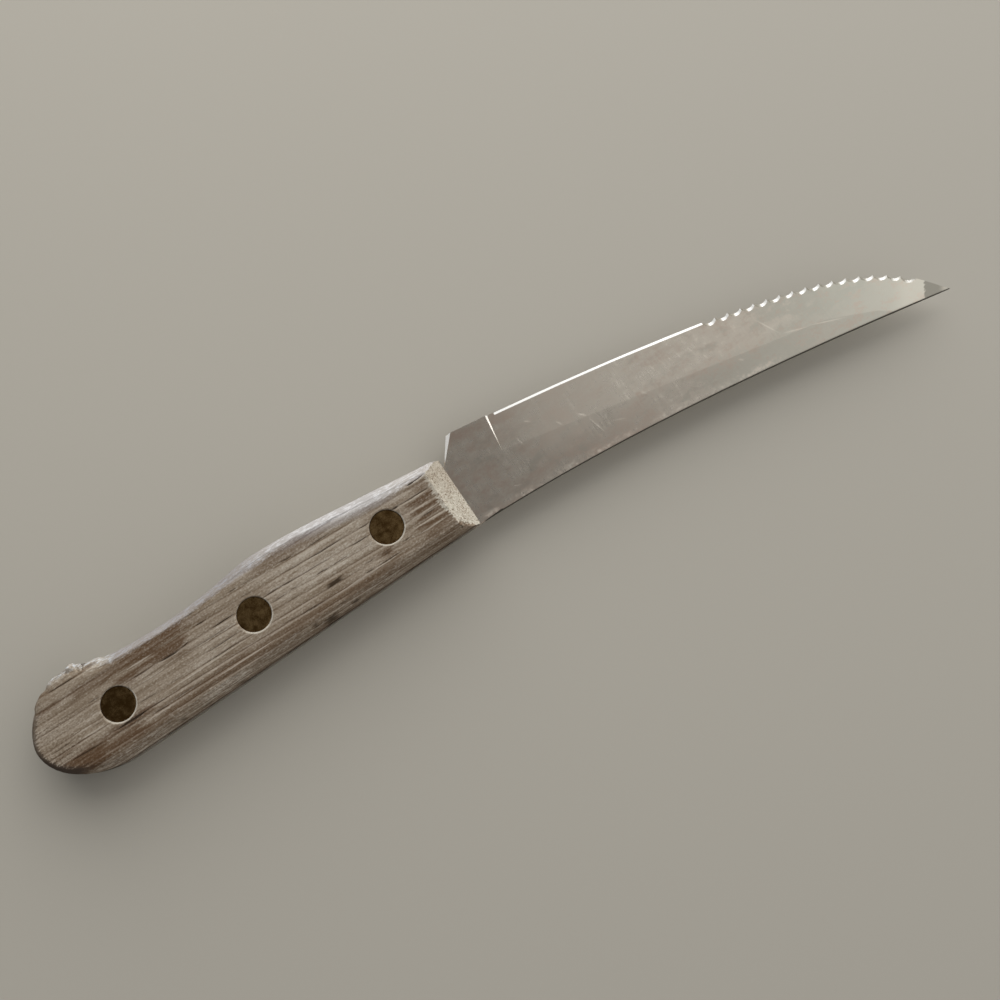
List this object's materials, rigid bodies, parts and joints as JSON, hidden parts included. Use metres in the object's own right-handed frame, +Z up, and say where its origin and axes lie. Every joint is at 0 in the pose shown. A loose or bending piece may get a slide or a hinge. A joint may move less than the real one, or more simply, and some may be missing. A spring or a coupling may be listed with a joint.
{
  "type": "steak knife",
  "caption": "Kitchen knife with an upswept, partly serrated steel blade and a full tang between two weathered wooden handle scales held by brass rivets.",
  "frame": {"origin": "under the middle of the knife's outline, on the surface that it lies on", "axes": "+X along the line of rivets from the butt to the point, +Y from the spine to the cutting edge, +Z up through the knife lying on its side"},
  "size_m": [0.2372, 0.0402, 0.0142],
  "materials": {
    "blade_steel": "satin stainless steel, scratched and smudged, bright on the ground edge",
    "weathered_wood": "bare, bleached, with raised grain and brown patches",
    "dark_brass": "dark brown patina"
  },
  "bodies": {
    "root": {"blade_with_tang": "blade_steel", "upper_scale": "weathered_wood", "lower_scale": "weathered_wood", "front_rivet_post": "dark_brass", "front_rivet_socket": "dark_brass", "middle_rivet_post": "dark_brass", "middle_rivet_socket": "dark_brass", "rear_rivet_post": "dark_brass", "rear_rivet_socket": "dark_brass"}
  },
  "joints": []
}
